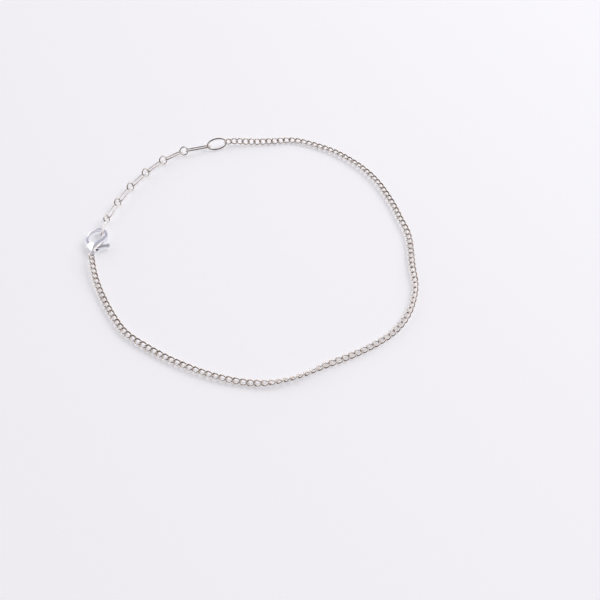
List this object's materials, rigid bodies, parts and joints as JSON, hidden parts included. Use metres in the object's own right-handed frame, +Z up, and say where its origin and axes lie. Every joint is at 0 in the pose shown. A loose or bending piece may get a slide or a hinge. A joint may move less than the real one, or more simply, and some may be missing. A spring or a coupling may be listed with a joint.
{
  "type": "chain anklet",
  "caption": "Fine silver curb-chain anklet, closed into a loose loop and lying flat, with a lobster clasp, a link-and-ring extender and an oval ring between them.",
  "frame": {"origin": "centre of the lying loop, on the surface that it lies on", "axes": "+Z up from the surface, +Y away from the viewer, with the clasp on the -X side"},
  "size_m": [0.0902, 0.0922, 0.0026],
  "materials": {
    "chain_silver": "polished silver wire",
    "link_silver": "polished silver wire",
    "clasp_silver": "polished cast silver",
    "lever_silver": "polished stamped silver"
  },
  "bodies": {
    "anklet": {"curb_chain_front": "chain_silver", "curb_chain_back": "chain_silver", "clasp_jump_ring": "link_silver", "oval_ring": "link_silver", "extender_link_1": "link_silver", "extender_link_2": "link_silver", "extender_link_3": "link_silver", "extender_link_4": "link_silver", "extender_link_5": "link_silver", "extender_link_6": "link_silver", "extender_link_7": "link_silver", "extender_ring_1": "link_silver", "extender_ring_2": "link_silver", "extender_ring_3": "link_silver", "extender_ring_4": "link_silver", "extender_ring_5": "link_silver", "extender_ring_6": "link_silver", "clasp_body": "clasp_silver"},
    "lever": {"clasp_lever": "lever_silver"}
  },
  "joints": [
    {"name": "lever_hinge", "type": "hinge", "parent": "anklet", "child": "lever", "pos_m": [-0.04285, 0.00171, 0.0011], "axis": [0, 0, -1], "range_deg": [0, 25], "stiffness_Nm_per_rad": 0.002, "springref_deg": -20.05}
  ]
}
